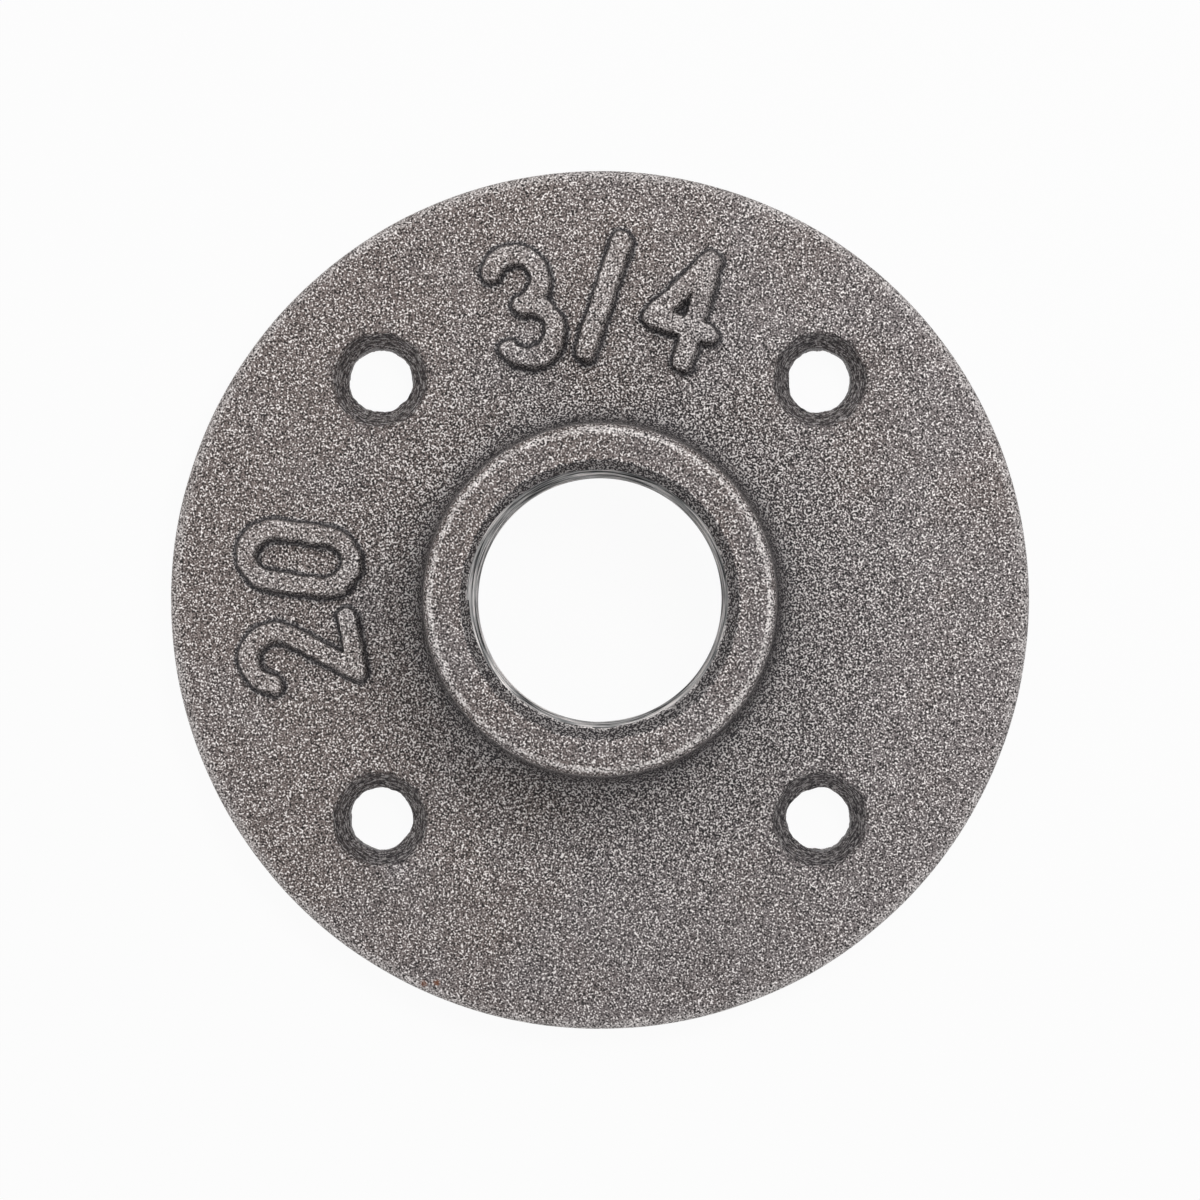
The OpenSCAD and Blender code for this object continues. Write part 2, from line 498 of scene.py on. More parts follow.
def mark_pads(tree, given, place, seeded):
    """The size marks as closed pads, each stroke raised by the distance to its centre line."""
    node = partial(add_node, tree)

    # A sheet over all the marks, with a margin past their skirts
    lines = node("GeometryNodeObjectInfo", {"Object": given["Mark lines"]})["Geometry"]
    skirt = node("ShaderNodeMath", {
        0: given["Mark stroke"], 1: given["Mark skirt"]}, operation="MULTIPLY")[0]
    extent = node("GeometryNodeBoundBox", {"Geometry": lines})
    span = node("ShaderNodeVectorMath", {0: extent["Max"], 1: extent["Min"]}, operation="SUBTRACT")[0]
    margin = node("ShaderNodeVectorMath", {0: (3, 3, 0), "Scale": skirt}, operation="SCALE")[0]
    widened = node("ShaderNodeVectorMath", {0: span, 1: margin}, operation="ADD")[0]
    sides = node("ShaderNodeSeparateXYZ", {0: widened})
    columns, rows = [
        node("ShaderNodeMath", {0: sides[axis], 1: given["Mark spacing"]}, operation="DIVIDE")[0]
        for axis in "XY"]
    sheet = node("GeometryNodeMeshGrid", {
        "Size X": sides["X"], "Size Y": sides["Y"], "Vertices X": columns, "Vertices Y": rows})["Mesh"]
    both = node("ShaderNodeVectorMath", {0: extent["Max"], 1: extent["Min"]}, operation="ADD")[0]
    middle = node("ShaderNodeVectorMath", {0: both, "Scale": 0.5}, operation="SCALE")[0]
    laid = node("GeometryNodeTransform", {"Geometry": sheet, "Translation": middle})[0]

    # Distances to the centre lines, as drawn and shifted towards the side of the painted shadow
    blur = node("ShaderNodeTexNoise", {"Vector": seeded, "Scale": 1 / MARK_WAVE, "Detail": 2.0})["Color"]
    blurred = node("ShaderNodeVectorMath", {0: blur, 1: (0.5, 0.5, 0.5)}, operation="SUBTRACT")[0]
    nudge = node("ShaderNodeVectorMath", {
        0: blurred, 1: (MARK_WANDER, MARK_WANDER, 0)}, operation="MULTIPLY")[0]
    felt = node("ShaderNodeVectorMath", {0: place, 1: nudge}, operation="ADD")[0]
    shifted_place = node("ShaderNodeVectorMath", {0: felt, 1: SHADOW_SIDE_SHIFT}, operation="ADD")[0]
    distances = []
    for sample in (felt, shifted_place):
        distance = node("GeometryNodeProximity", {
            0: lines, "Sample Position": sample}, target_element="EDGES")["Distance"]
        distances.append(
            node("ShaderNodeMath", {0: distance, 1: given["Mark stroke"]}, operation="DIVIDE")[0])
    drawn, loose = distances
    nearest = node("ShaderNodeMath", {0: drawn, 1: loose}, operation="MINIMUM")[0]
    beyond = node("ShaderNodeMath", {0: nearest, 1: given["Mark skirt"]}, operation="GREATER_THAN")[0]
    near = node(
        "GeometryNodeDeleteGeometry", {"Geometry": laid, "Selection": beyond}, domain="POINT")[0]

    # A crisp flank or a longer shifted one under the painted shadow, on a low skirt and under a slight
    # crown
    flank = node("ShaderNodeMapRange", {
        "Value": drawn, "From Min": FLANK_TOP, "From Max": FLANK_FOOT,
        "To Min": FLANK_SHARE, "To Max": 0.0}, interpolation_type="SMOOTHSTEP")[0]
    slope = node("ShaderNodeMapRange", {
        "Value": loose, "From Min": SHIFTED_TOP, "From Max": SHIFTED_FOOT,
        "To Min": FLANK_SHARE, "To Max": 0.0})[0]
    side = node("ShaderNodeMath", {0: flank, 1: slope}, operation="MAXIMUM")[0]
    spread = node("ShaderNodeMapRange", {
        "Value": nearest, "From Min": FLANK_TOP, "From Max": given["Mark skirt"],
        "To Min": SKIRT_SHARE, "To Max": -BURIED_SHARE})[0]
    crown = node("ShaderNodeMapRange", {
        "Value": nearest, "From Min": CROWN_EDGE, "From Max": FLANK_TOP,
        "To Min": CROWN_SHARE, "To Max": 0.0})[0]
    share = node("ShaderNodeMath", {0: side, 1: spread}, operation="ADD")[0]
    share = node("ShaderNodeMath", {0: share, 1: crown}, operation="ADD")[0]
    lift = node("ShaderNodeMath", {0: share, 1: given["Mark rise"]}, operation="MULTIPLY")[0]
    raised = node("GeometryNodeSetPosition", {
        "Geometry": near, "Offset": node("ShaderNodeCombineXYZ", {2: lift})[0]})[0]

    # A root in the disc, twice as deep as the marks rise, closes each pad
    depth = node("ShaderNodeMath", {0: given["Mark rise"], 1: 2.0}, operation="MULTIPLY")[0]
    down = node("ShaderNodeCombineXYZ", {2: -1.0})[0]
    root = node("GeometryNodeExtrudeMesh", {
        "Mesh": raised, "Offset": down, "Offset Scale": depth, "Individual": False}, mode="FACES")["Mesh"]
    halves = node("GeometryNodeJoinGeometry")[0]
    for half in (raised, node("GeometryNodeFlipFaces", {"Mesh": root})[0]):
        tree.links.new(half, halves.node.inputs[0])
    return node("GeometryNodeMergeByDistance", {"Geometry": halves, "Distance": WELD})[0]


def casting_tree():
    """Turns the casting, taps its bore, cuts its screw holes, raises its size marks and ages its skin."""
    tree, given, result = new_tree("Sand-cast flange", [
        ("Section", "Geometry"),
        ("Segments", "Int"),
        ("Crest radius", "Float"),
        ("Root radius", "Float"),
        ("Tapped radius", "Float"),
        ("Pitch", "Float"),
        ("Hole section", "Object"),
        ("Hole segments", "Int"),
        ("Hole count", "Int"),
        ("Hole circle radius", "Float"),
        ("Sink floor", "Float"),
        ("Raggedness", "Float"),
        ("Mark lines", "Object"),
        ("Mark rise", "Float"),
        ("Mark stroke", "Float"),
        ("Mark skirt", "Float"),
        ("Mark spacing", "Float"),
        ("Face height", "Float"),
        ("Unevenness", "Float"),
        ("Seed", "Vector"),
        ("Skin", "Material"),
    ])
    node = partial(add_node, tree)
    turning = turning_tree()
    place = node("GeometryNodeInputPosition")[0]
    seeded = node("ShaderNodeVectorMath", {0: place, 1: given["Seed"]}, operation="ADD")[0]
    axes, flat, radius, angle = round_axis(node, place)
    in_bore = node("ShaderNodeMath", {0: radius, 1: given["Tapped radius"]}, operation="LESS_THAN")[0]

    # The bore's wall sinks from the thread's crests to its roots, once a turn
    blank = node("GeometryNodeGroup", {
        "Section": given["Section"], "Segments": given["Segments"]}, node_tree=turning)[0]
    thread = thread_wall(
        node, angle, axes["Z"], given["Pitch"], given["Root radius"], given["Crest radius"])
    wall = node("ShaderNodeMath", {0: thread, 1: radius}, operation="MAXIMUM")[0]
    growth = node("ShaderNodeMath", {0: wall, 1: radius}, operation="DIVIDE")[0]
    grown = node("ShaderNodeVectorMath", {0: flat, "Scale": growth}, operation="SCALE")[0]
    shift = node("ShaderNodeVectorMath", {0: grown, 1: flat}, operation="SUBTRACT")[0]
    threaded = node("GeometryNodeSetPosition", {
        "Geometry": blank, "Selection": in_bore, "Offset": shift})[0]

    # The cutters leave the screw holes, and the pads of the size marks join the disc
    cutters = hole_cutters(node, given, turning, place, seeded)
    drilled = node("GeometryNodeMeshBoolean", {
        "Mesh 1": threaded, "Mesh 2": cutters}, operation="DIFFERENCE", solver="MANIFOLD")["Mesh"]
    pads = mark_pads(tree, given, place, seeded)
    marked = node(
        "GeometryNodeMeshBoolean", {"Mesh 2": pads}, operation="UNION", solver="MANIFOLD")["Mesh"]
    tree.links.new(drilled, marked.node.inputs["Mesh 2"])

    # The cast skin sinks a little in places, and the tapped bore stays true
    swales = node("ShaderNodeTexNoise", {"Vector": seeded, "Scale": 1 / SWALE_WAVE, "Detail": 2.0})["Fac"]
    cast_only = node("ShaderNodeMath", {0: 1.0, 1: in_bore}, operation="SUBTRACT")[0]
    dip = node("ShaderNodeMath", {0: swales, 1: given["Unevenness"]}, operation="MULTIPLY")[0]
    normal = node("GeometryNodeInputNormal")[0]
    inward = node("ShaderNodeVectorMath", {0: normal, 1: (-1, -1, -1)}, operation="MULTIPLY")[0]
    sinking = node("ShaderNodeVectorMath", {0: inward, "Scale": dip}, operation="SCALE")[0]
    aged = node("GeometryNodeSetPosition", {
        "Geometry": marked, "Selection": cast_only, "Offset": sinking})[0]
    bare = node("GeometryNodeRemoveAttribute", {"Geometry": aged, "Name": FROM_HOLE_AXIS})[0]
    smooth = node("GeometryNodeSetShadeSmooth", {"Geometry": bare})[0]
    real = node("GeometryNodeRealizeInstances", {"Geometry": smooth})[0]
    skinned = node("GeometryNodeSetMaterial", {"Geometry": real, "Material": given["Skin"]})[0]
    tree.links.new(skinned, result.inputs[0])
    return tree


def plain_mesh(piece, tree, values):
    """Runs a tree on a piece with the given values and leaves its result as the piece's plain mesh."""
    modifier = piece.modifiers.new(tree.name, "NODES")
    modifier.node_group = tree
    for item in tree.interface.items_tree:
        if item.in_out == "INPUT" and item.name in values:
            modifier[item.identifier] = values[item.name]
    evaluated = piece.evaluated_get(bpy.context.evaluated_depsgraph_get())
    mesh = bpy.data.meshes.new_from_object(evaluated)
    piece.modifiers.clear()
    piece.data = mesh
    return mesh


# Materials, with their patterns in millimetres

# Lengths of the waves in the edges of the zones, in the rubbed patches and in the drift of the oxide
STRAY_WAVE = 1.1
PATCH_WAVE = 2.5
DRIFT_WAVE = 9

# How far the edges of the zones stray
STRAY = 0.35

# Angles, in radians, between which the groove of the first turn comes to show on the chamfer
TAP_START = (2.3, 2.7)

# Farther than any point, for a part of a zone that is full from its start or to its end
FAR = 98

# Layers of grains, each moved and turned by the same vector so that no rows of grains show
GRAIN_LAYERS = [(0.6, 0.5, 0.3), (-0.8, 0.4, 1.2)]

# How much cooler the oxide gets with each millimetre along X and Y
COOLING = (0.005, -0.002, 0)

# How many times more a grain's height tells where black sand and painted shade lie in the pits round it
DUST_AND_SHADE_RELIEF = 3.0

# Tone of a bare grain's top, which also stands for a painted glint, where the skin's own is one
BARE_TONE = 6.0

# Height of a grain that rubbing only just reaches, and of one that it wears bare; the painted highlights go
# by the same heights
RUB_REACHED, RUB_BARE = -0.3, 0.25

# Places of the rust specks on the rim, with the reach of each
RUST_SPECKS = [(-17.8, -38.6, 0.5), (-16.4, -38.6, 0.4)]


def skin_place(node, sizes):
    """Fields that tell where a point of the skin lies on the casting."""
    place = node("ShaderNodeTexCoord")["Object"]
    spot = node("ShaderNodeVectorMath", {0: place, "Scale": 1 / MM}, operation="SCALE")[0]
    axes, flat, radius, angle = round_axis(node, spot)

    # The nearest screw hole's own frame
    sector = math.tau / sizes.hole_count
    wrapped = node("ShaderNodeMath", {0: angle, 1: sector, 2: 0.0}, operation="WRAP")[0]
    swing = node("ShaderNodeMath", {0: wrapped, 1: sector / 2}, operation="SUBTRACT")[0]
    along = node("ShaderNodeCombineXYZ", {0: radius})[0]
    ray = node("ShaderNodeVectorRotate", {"Vector": along, "Angle": swing}, rotation_type="Z_AXIS")[0]
    from_hole = node("ShaderNodeVectorMath", {
        0: ray, 1: (sizes.hole_circle_diameter / 2 / MM, 0, 0)}, operation="SUBTRACT")[0]

    # What keeps the edges of the zones ragged, and what keeps the zones off the back face
    noise = node("ShaderNodeTexNoise", {"Vector": spot, "Scale": 1 / STRAY_WAVE, "Detail": 2.0})["Fac"]
    stray = node("ShaderNodeMapRange", {"Value": noise, "To Min": -STRAY, "To Max": STRAY})[0]
    uneven = node("ShaderNodeMath", {0: radius, 1: stray}, operation="ADD")[0]
    front = node("ShaderNodeMapRange", {"Value": axes["Z"], "From Min": 0.2, "From Max": 0.6})[0]
    return SimpleNamespace(
        spot=spot, axes=axes, flat=flat, radius=radius, angle=angle, from_hole=from_hole,
        stray=stray, uneven=uneven, front=front)


def past_the_tap(node, sizes, at):
    """How far a point lies off the metal that the tap cut: the bore, and the groove on its chamfer."""
    bore = sizes.bore_diameter / 2 / MM
    mouth = bore + sizes.mouth_chamfer / MM
    chamfer_foot = (sizes.total_height - sizes.mouth_chamfer) / MM
    thread = thread_wall(
        node, at.angle, at.axes["Z"], sizes.thread_pitch / MM, sizes.thread_root_diameter / 2 / MM, bore)
    past_cut = node("ShaderNodeMath", {0: at.radius, 1: thread}, operation="SUBTRACT")[0]
    off_start = node("ShaderNodeMapRange", {
        "Value": at.angle, "From Min": TAP_START[0], "From Max": TAP_START[1],
        "To Min": 1.0, "To Max": 0.0})[0]
    past_start = node("ShaderNodeMath", {0: past_cut, 1: off_start}, operation="ADD")[0]
    past_wall = node("ShaderNodeMath", {0: at.uneven, 1: bore}, operation="SUBTRACT")[0]
    at_mouth = node("ShaderNodeMath", {0: at.axes["Z"], 1: chamfer_foot}, operation="GREATER_THAN")[0]
    outside = node("ShaderNodeMath", {0: at.radius, 1: mouth}, operation="GREATER_THAN")[0]
    off_wall = node("ShaderNodeMath", {0: outside, 1: at_mouth}, operation="MAXIMUM")[0]
    past_wall = node("ShaderNodeMath", {0: past_wall, 1: off_wall}, operation="MULTIPLY")[0]
    return node("ShaderNodeMath", {0: past_start, 1: past_wall}, operation="MINIMUM")[0]


def zone_shares(node, sizes, at):
    """How much of the skin is darkened by painted shade, covered in black sand and painted shade, worn and
    brightened by painted highlights, drilled and tapped at a point.
    """
    face = sizes.disc_thickness / MM
    rim = sizes.disc_diameter / 2 / MM
    bore = sizes.bore_diameter / 2 / MM
    mouth = bore + sizes.mouth_chamfer / MM
    hub = bore + sizes.hub_wall / MM
    sink = (sizes.hole_diameter / 2 + sizes.sink_width) / MM

    # Ragged heights over the disc's face and depths in a screw hole
    past_foot = hub + 3.0
    past_sink = sink + 1.0
    on_disc = node("ShaderNodeMath", {0: at.radius, 1: past_foot}, operation="GREATER_THAN")[0]
    ragged = node("ShaderNodeMath", {0: at.stray, 1: 0.25, 2: at.axes["Z"]}, operation="MULTIPLY_ADD")[0]
    over_face = node("ShaderNodeMath", {0: ragged, 1: on_disc}, operation="MULTIPLY")[0]
    from_axis = node("ShaderNodeVectorMath", {0: at.from_hole}, operation="LENGTH")["Value"]
    at_hole = node("ShaderNodeMath", {0: from_axis, 1: past_sink}, operation="LESS_THAN")[0]
    depth = node("ShaderNodeMath", {0: face, 1: at.axes["Z"]}, operation="SUBTRACT")[0]
    ragged_depth = node("ShaderNodeMath", {0: depth, 1: at.stray}, operation="ADD")[0]
    in_hole = node("ShaderNodeMath", {0: ragged_depth, 1: at_hole}, operation="MULTIPLY")[0]

    # The radius, less what makes the worn edge and painted highlight on the rim's front edge give out on
    # the way down
    below_edge = node("ShaderNodeMapRange", {
        "Value": at.axes["Z"], "From Min": face - 3.5, "From Max": face - 0.5,
        "To Min": -1.5, "To Max": 0.0})[0]
    front_edge = node("ShaderNodeMath", {0: at.uneven, 1: below_edge}, operation="ADD")[0]

    # Weights of the black sand and painted shade at the hub's foot, and of the painted shadow of the hub
    # round it, which grow from the axis to the right
    foot_dust_and_shade, hub_shadow = [
        node("ShaderNodeMapRange", {
            "Value": at.axes["X"], "From Min": 0.0, "From Max": hub, "To Min": left, "To Max": right})[0]
        for left, right in ((0.64, 0.74), (0.15, 0.24))]

    # The near side of the disc, towards which the shade is painted, and the metal that the tap cut
    nearer = node("ShaderNodeMath", {0: at.axes["Y"], 1: -1.0}, operation="MULTIPLY")[0]
    past_tap = past_the_tap(node, sizes, at)

    # Parts of each zone: the measure that a part goes by, where on it the part begins, is full, starts to
    # fade and is gone, and its weight
    zones = {
        "painted_shade": [
            # Painted shade: the skin gets darker towards the near side of the disc
            (nearer, 0.3 * rim, rim, FAR, FAR + 1, 0.09),
            # Painted shade: the hub's top a little darker
            (at.radius, mouth + 0.5, mouth + 0.8, hub - 1.2, hub - 0.8, 0.14),
        ],
        "dust_and_shade": [
            # Black sand and painted shade at the hub's foot
            (at.radius, hub - 0.25, hub + 0.4, hub + 0.9, hub + 4.2, foot_dust_and_shade),
            # Painted shadow of the hub on the disc, stronger to the right
            (at.radius, hub, hub + 1, hub + 3.5, hub + 16, hub_shadow),
            # Black sand and painted shade in the mouth's chamfer
            (at.uneven, bore + 0.15, bore + 0.3, mouth - 0.05, mouth + 0.1, 0.57),
            # Black sand and painted shade round the size marks, widest on the lower right as a painted
            # shadow
            (over_face, face, face + 0.12, face + 0.45, face + 0.7, 0.85),
            # Black sand and painted shade on the flanks of the size marks
            (over_face, face + 0.3, face + 0.4, face + 0.8, face + 0.95, 0.5),
            # Black sand and painted shade in the countersinks and screw holes
            (in_hole, 0.05, 0.35, FAR, FAR + 1, 0.57),
        ],
        "wear_and_highlight": [
            # Worn edge and painted highlight on the hub's mouth
            (at.uneven, hub - 1.0, hub - 0.8, hub - 0.5, hub - 0.3, 0.93),
            # Worn edge and painted highlight on the rim's front edge
            (front_edge, rim - 1.3, rim - 0.7, rim + 1, rim + 2, 0.64),
            (past_tap, -FAR, 1 - FAR, 0.1, 0.2, 0.75),
            # Painted highlight, in bare iron, along the chamfer's foot
            (past_tap, 0.08, 0.14, 0.26, 0.36, 0.95),
            # Painted highlight along the top edges of the size marks
            (over_face, face + 0.85, face + 0.98, face + 1.1, face + 1.2, 0.4),
        ],
        "drilled": [
            (in_hole, 0.05, 0.3, FAR, FAR + 1, 0.7),
        ],
        "tapped": [
            (past_tap, -FAR, 1 - FAR, 0.1, 0.16, 1.0),
        ],
    }
    shares = {}
    for zone, parts in zones.items():
        share = 0.0
        for measure, begin, full, ending, gone, weight in parts:
            grows = node("ShaderNodeMapRange", {
                "Value": measure, "From Min": begin, "From Max": full, "To Max": weight})[0]
            fades = node("ShaderNodeMapRange", {
                "Value": measure, "From Min": ending, "From Max": gone,
                "To Min": weight, "To Max": 0.0})[0]
            both = node("ShaderNodeMath", {0: grows, 1: fades}, operation="MINIMUM")[0]
            share = node("ShaderNodeMath", {0: both, 1: share}, operation="MAXIMUM")[0]
        shares[zone] = node("ShaderNodeMath", {0: share, 1: at.front}, operation="MULTIPLY")[0]

    # The tap leaves no black sand, and no shade is painted on the metal it cut
    cast = node("ShaderNodeMath", {0: 1.0, 1: shares["tapped"]}, operation="SUBTRACT")[0]
    shares["dust_and_shade"] = node("ShaderNodeMath", {0: shares["dust_and_shade"], 1: cast}, operation="MULTIPLY")[0]
    return shares


def grain_height(node, finish, at, shares):
    """Height of the skin about its own level: grains of sand, and rings where a tool has cut.

    The grains of a real casting are finer, and are drawn as coarse as they need to show.
    """
    height = -1.0
    for turn in GRAIN_LAYERS:
        turned = node("ShaderNodeMapping", {"Vector": at.spot, "Location": turn, "Rotation": turn})[0]
        layer = node("ShaderNodeTexNoise", {
            "Vector": turned, "Scale": MM / finish.grain_size, "Detail": 0.0})["Fac"]
        height = node("ShaderNodeMath", {0: height, 1: layer}, operation="ADD")[0]

    # Rings round the screw holes and the bore, by the streaks in a radian, the rings in a millimetre
    # outwards and along the axis, and their strength
    for share, from_axis, streaks, across, along, strength in (
            (shares["drilled"], at.from_hole, 6, 5, 5, 2.0),
            (shares["tapped"], at.flat, 2, 5, 0.2, 2.4)):
        distance = node("ShaderNodeVectorMath", {0: from_axis}, operation="LENGTH")["Value"]
        sweep = node("ShaderNodeMath", {0: distance, 1: across}, operation="MULTIPLY")[0]
        climb = node("ShaderNodeMath", {0: at.axes["Z"], 1: along, 2: sweep}, operation="MULTIPLY_ADD")[0]
        aim = node("ShaderNodeVectorMath", {0: from_axis}, operation="NORMALIZE")[0]
        upwards = node("ShaderNodeCombineXYZ", {2: climb})[0]
        around = node("ShaderNodeVectorMath", {
            0: aim, 1: (streaks, streaks, 0), 2: upwards}, operation="MULTIPLY_ADD")[0]
        drag = node("ShaderNodeTexNoise", {
            "Vector": around, "Scale": 1.0, "Detail": 2.0, "Roughness": 0.7})["Fac"]
        ring = node("ShaderNodeMath", {0: drag, 1: strength, 2: -strength / 2}, operation="MULTIPLY_ADD")[0]
        height = node("ShaderNodeMix", {0: share, 2: height, 3: ring})[0]
    return height


def skin_colour(node, finish, at, shares, height):
    """Colour of the skin, from its oxide through grains with painted glints on their tops, black sand with
    painted shade, and worn edges with painted highlights to specks of rust.
    """
    # Oxide that drifts from brown to blue grey over some millimetres, and cut iron where the tap went
    drift = node("ShaderNodeTexNoise", {"Vector": at.spot, "Scale": 1 / DRIFT_WAVE, "Detail": 4.0})["Fac"]
    lean = node("ShaderNodeVectorMath", {0: at.spot, 1: COOLING}, operation="DOT_PRODUCT")["Value"]
    leant = node("ShaderNodeMath", {0: drift, 1: lean}, operation="ADD")[0]
    cool = node("ShaderNodeMapRange", {"Value": leant, "From Min": 0.35, "From Max": 0.65})[0]
    skin = node("ShaderNodeMix", {
        0: cool, 6: (*finish.warm_skin, 1), 7: (*finish.cool_skin, 1)}, data_type="RGBA")[2]
    skin = node("ShaderNodeMix", {
        0: shares["tapped"], 6: skin, 7: (*finish.cut_iron, 1)}, data_type="RGBA")[2]

    # The tone goes up with a grain's height, from black pits through the skin's own to bare iron, whose
    # brightest grains are partly painted glints
    relief = node("ShaderNodeMapRange", {
        "Value": shares["dust_and_shade"], "To Min": 1.0, "To Max": DUST_AND_SHADE_RELIEF})[0]
    shown = node("ShaderNodeMath", {0: height, 1: relief}, operation="MULTIPLY")[0]
    cubed = node("ShaderNodeMath", {0: shown, 1: 3.0}, operation="POWER")[0]
    extremes = node("ShaderNodeMath", {0: cubed, 1: finish.glint_contrast}, operation="MULTIPLY")[0]
    contrast = node("ShaderNodeMath", {
        0: shown, 1: finish.grain_contrast, 2: extremes}, operation="MULTIPLY_ADD")[0]
    tone = node("ShaderNodeMath", {0: contrast}, operation="EXPONENT")[0]
    pitting = node("ShaderNodeMapRange", {"Value": tone, "From Min": 0.0, "From Max": 1.0})[0]
    pitted = node("ShaderNodeMix", {0: pitting, 6: (0, 0, 0, 1), 7: skin}, data_type="RGBA")[2]
    topping = node("ShaderNodeMapRange", {"Value": tone, "From Min": 1.0, "From Max": BARE_TONE})[0]
    grained = node("ShaderNodeMix", {
        0: topping, 6: pitted, 7: (*finish.bare_iron_and_highlight, 1)}, data_type="RGBA")[2]

    # Black sand and painted shade darken it, and what sticks out is worn bare in patches, with painted
    # highlights along the same edges
    dust_and_shade_share = node("ShaderNodeMath", {0: shares["dust_and_shade"], 1: shares["painted_shade"]}, operation="MAXIMUM")[0]
    dusted_and_shaded = node("ShaderNodeMix", {0: dust_and_shade_share, 6: grained, 7: (*finish.dust_and_shade, 1)}, data_type="RGBA")[2]
    rubbed_and_lit = node("ShaderNodeMapRange", {
        "Value": height, "From Min": RUB_REACHED, "From Max": RUB_BARE})[0]
    rubbed_and_lit = node("ShaderNodeMath", {0: rubbed_and_lit, 1: shares["wear_and_highlight"]}, operation="MULTIPLY")[0]
    noise = node("ShaderNodeTexNoise", {"Vector": at.spot, "Scale": 1 / PATCH_WAVE, "Detail": 2.0})["Fac"]
    patches = node("ShaderNodeMapRange", {
        "Value": noise, "From Min": 0.4, "From Max": 0.56, "To Min": 0.4})[0]
    rubbed_and_lit = node("ShaderNodeMath", {0: rubbed_and_lit, 1: patches}, operation="MULTIPLY")[0]
    colour = node("ShaderNodeMix", {
        0: rubbed_and_lit, 6: dusted_and_shaded, 7: (*finish.bare_iron_and_highlight, 1)}, data_type="RGBA")[2]

    for x, y, reach in RUST_SPECKS:
        away = node("ShaderNodeVectorMath", {0: at.flat, 1: (x, y, 0)}, operation="DISTANCE")["Value"]
        away = node("ShaderNodeMath", {0: away, 1: at.stray}, operation="ADD")[0]
        rusty = node("ShaderNodeMapRange", {
            "Value": away, "From Min": 0.4 * reach, "From Max": reach, "To Min": 0.75, "To Max": 0.0})[0]
        rusty = node("ShaderNodeMath", {0: rusty, 1: at.front}, operation="MULTIPLY")[0]
        colour = node("ShaderNodeMix", {0: rusty, 6: colour, 7: (*finish.rust, 1)}, data_type="RGBA")[2]
    return colour


def sand_cast_iron(sizes, finish):
    """Grey iron as it leaves the sand: a dull oxide skin of fine grains, with dark pits and bright tops.

    The skin is darker in the recesses, where black sand stays and shade is painted, and bare and bright
    along the edges that rub, where highlights are painted too. The metal that the tap cut is a plain cool
    grey with rings in it.
    """
    material = bpy.data.materials.new("sand_cast_iron")
    material.use_nodes = True
    tree = material.node_tree
    tree.nodes.clear()
    node = partial(add_node, tree)
    at = skin_place(node, sizes)
    shares = zone_shares(node, sizes, at)
    height = grain_height(node, finish, at, shares)
    colour = skin_colour(node, finish, at, shares, height)
    bump = node("ShaderNodeBump", {
        "Strength": 1.0, "Distance": finish.grain_depth, "Height": height})[0]

    # Only part metal, as the oxide covers most of the iron
    surface = node("ShaderNodeBsdfPrincipled", {
        "Base Color": colour, "Metallic": 0.4, "Roughness": 0.5, "Normal": bump})[0]
    node("ShaderNodeOutputMaterial", {"Surface": surface})
    return material


def shows_white(node):
    """One for the rays that see the plain background, straight or in a gloss, and nought for its light."""
    rays = node("ShaderNodeLightPath")
    seen = rays["Is Camera Ray"]
    for name in ("Is Glossy Ray", "Is Transmission Ray"):
        seen = node("ShaderNodeMath", {0: seen, 1: rays[name]}, operation="MAXIMUM")[0]
    return seen


def white_paper(whiteness):
    """Seamless white paper: matt, and seen by the camera as mostly plain white with a soft shadow."""
    material = bpy.data.materials.new("white_paper")
    material.use_nodes = True
    tree = material.node_tree
    tree.nodes.clear()
    node = partial(add_node, tree)
    share = node("ShaderNodeMath", {0: shows_white(node), 1: whiteness}, operation="MULTIPLY")[0]
    paper = node("ShaderNodeBsdfDiffuse", {"Color": (*linear("#f4f4f4"), 1)})[0]
    white = node("ShaderNodeEmission", {"Color": (1, 1, 1, 1), "Strength": 1.0})[0]
    surface = node("ShaderNodeMixShader", {0: share, 1: paper, 2: white})[0]
    node("ShaderNodeOutputMaterial", {"Surface": surface})
    return material


# Operators

# Faces that meet at more than this keep a sharp edge
SHARP_ANGLE = math.radians(24)

# What keeps the rounded edge of the mouth out of the tapped part
EDGE_GAP = 0.01 * MM


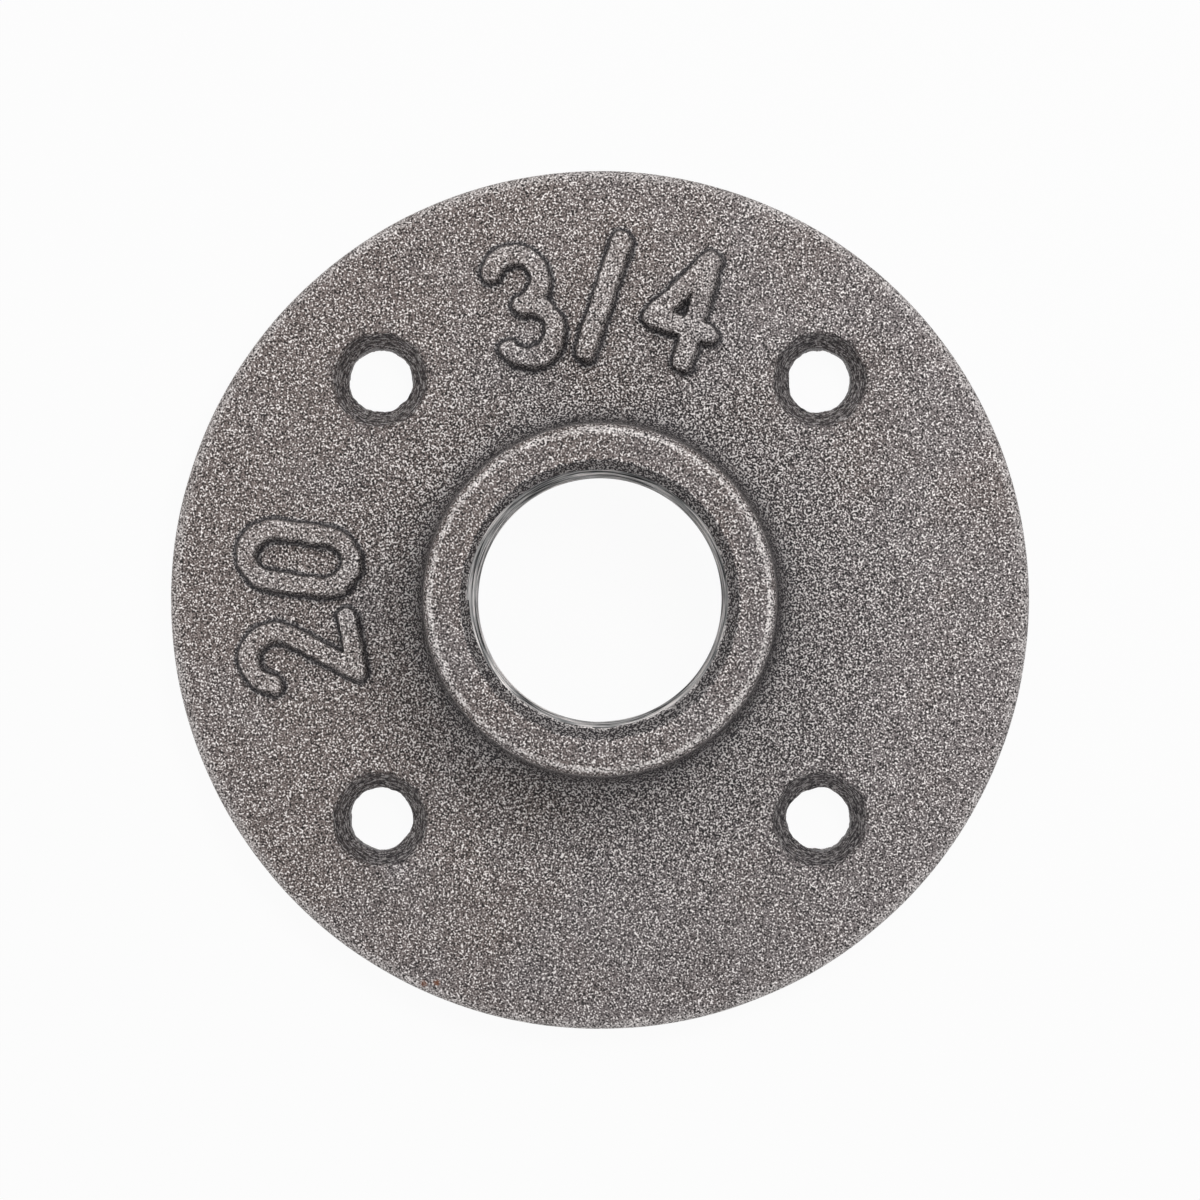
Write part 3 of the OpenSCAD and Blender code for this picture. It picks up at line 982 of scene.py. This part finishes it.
class FLANGE_OT_cast(bpy.types.Operator):
    """Make the casting with its thread, screw holes and size marks"""

    bl_idname = "flange.cast"
    bl_label = "Cast the flange"

    def execute(self, context):
        sizes = context.scene.flange_sizes
        drawn = [[(r, 0, z) for r, z in casting_section(sizes)]]
        cutter = [[(r, 0, z) for r, z in hole_section(sizes)]]
        casting = wire_object("flange_casting", drawn)
        holes = wire_object("hole_section", cutter)
        marks = wire_object("mark_lines", mark_lines(sizes))
        mesh = plain_mesh(casting, casting_tree(), {
            "Segments": 240,
            "Crest radius": sizes.bore_diameter / 2,
            "Root radius": sizes.thread_root_diameter / 2,
            "Tapped radius": sizes.bore_diameter / 2 + sizes.mouth_chamfer - EDGE_GAP,
            "Pitch": sizes.thread_pitch,
            "Hole section": holes,
            "Hole segments": 96,
            "Hole count": sizes.hole_count,
            "Hole circle radius": sizes.hole_circle_diameter / 2,
            "Sink floor": sizes.disc_thickness - sizes.sink_width,
            "Raggedness": sizes.hole_raggedness,
            "Mark lines": marks,
            "Mark rise": sizes.mark_rise,
            "Mark stroke": sizes.mark_stroke,
            "Mark skirt": 0.82,
            "Mark spacing": 0.13 * MM,
            "Face height": sizes.disc_thickness,
            "Unevenness": sizes.skin_unevenness,
            "Seed": (3.7, 1.9, 0.4),
            "Skin": sand_cast_iron(sizes, context.scene.flange_finish),
        })
        sharing = Counter(edge for face in mesh.polygons for edge in face.edge_keys)
        if set(sharing.values()) != {2}:
            raise RuntimeError("The flange didn't cast as one closed skin")
        mesh.name = "flange_casting"
        mesh.set_sharp_from_angle(angle=SHARP_ANGLE)
        for helper in (holes, marks):
            bpy.data.objects.remove(helper)
        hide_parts(CAD_NODE)
        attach(casting, "root")
        return {"FINISHED"}


class FLANGE_OT_set_stage(bpy.types.Operator):
    """Lay white paper under the flange, light it softly and look straight down on it"""

    bl_idname = "flange.set_stage"
    bl_label = "Set the stage"

    def execute(self, context):
        scene = context.scene
        studio = scene.flange_studio
        scene.view_settings.view_transform = "Standard"

        # The paper lies just under the flange
        mesh = bpy.data.meshes.new("paper")
        half = 2.0
        drop = -0.05 * MM
        corners = [(x * half, y * half, drop) for x, y in ((-1, -1), (1, -1), (1, 1), (-1, 1))]
        mesh.from_pydata(corners, [], [(0, 1, 2, 3)])
        mesh.materials.append(white_paper(studio.floor_whiteness))
        paper = bpy.data.objects.new("paper", mesh)
        scene.collection.objects.link(paper)

        # Each light's place, the side of its square and its power
        softboxes = [
            ("Key softbox", (-0.32, 0.58, 0.62), 0.5, studio.key_power),
            ("Fill softbox", (0.1, 0.1, 0.3), 0.12, studio.fill_power),
            ("Bounce card", (-0.2, -0.45, 0.3), 0.3, studio.bounce_power),
        ]
        for name, spot, side, power in softboxes:
            light = bpy.data.lights.new(name, "AREA")
            light.size = side
            light.energy = power
            lamp = bpy.data.objects.new(name, light)
            lamp.location = spot
            lamp.rotation_euler = Vector(spot).to_track_quat("Z", "Y").to_euler()
            scene.collection.objects.link(lamp)

        world = bpy.data.worlds.new("White room")
        world.use_nodes = True
        tree = world.node_tree
        tree.nodes.clear()
        node = partial(add_node, tree)
        strength = node("ShaderNodeMapRange", {
            "Value": shows_white(node), "To Min": studio.sky, "To Max": 1.0})[0]
        room = node("ShaderNodeBackground", {"Color": (1, 1, 1, 1), "Strength": strength})[0]
        node("ShaderNodeOutputWorld", {"Surface": room})
        scene.world = world

        lens = bpy.data.cameras.new("Camera")
        lens.sensor_width = 36.0
        reach = studio.camera_height - scene.flange_sizes.disc_thickness
        lens.lens = lens.sensor_width * reach / studio.frame_width
        camera = bpy.data.objects.new("Camera", lens)
        camera.location = (0, 0, studio.camera_height)
        scene.collection.objects.link(camera)
        scene.camera = camera
        return {"FINISHED"}


class FLANGE_PT_panel(bpy.types.Panel):
    """Sizes, finish and studio of the flange"""

    bl_idname = "FLANGE_PT_panel"
    bl_label = "Floor flange"
    bl_space_type = "VIEW_3D"
    bl_region_type = "UI"
    bl_category = "Flange"

    def draw(self, context):
        steps = (
            (FLANGE_OT_cast.bl_idname, ("flange_sizes", "flange_finish")),
            (FLANGE_OT_set_stage.bl_idname, ("flange_studio",)),
        )
        for operator, groups in steps:
            box = self.layout.box()
            for group in groups:
                settings = getattr(context.scene, group)
                for name in settings.__annotations__:
                    box.prop(settings, name)
            box.operator(operator)


GROUPS = {"flange_sizes": FlangeSizes, "flange_finish": FlangeFinish, "flange_studio": FlangeStudio}
CLASSES = (*GROUPS.values(), FLANGE_OT_cast, FLANGE_OT_set_stage, FLANGE_PT_panel)


def register():
    for cls in CLASSES:
        bpy.utils.register_class(cls)
    for name, group in GROUPS.items():
        setattr(bpy.types.Scene, name, bpy.props.PointerProperty(type=group))


def unregister():
    for name in GROUPS:
        delattr(bpy.types.Scene, name)
    for cls in reversed(CLASSES):
        bpy.utils.unregister_class(cls)


def main():
    register()
    bpy.ops.flange.cast()
    bpy.ops.flange.set_stage()


if __name__ == "__main__":
    main()
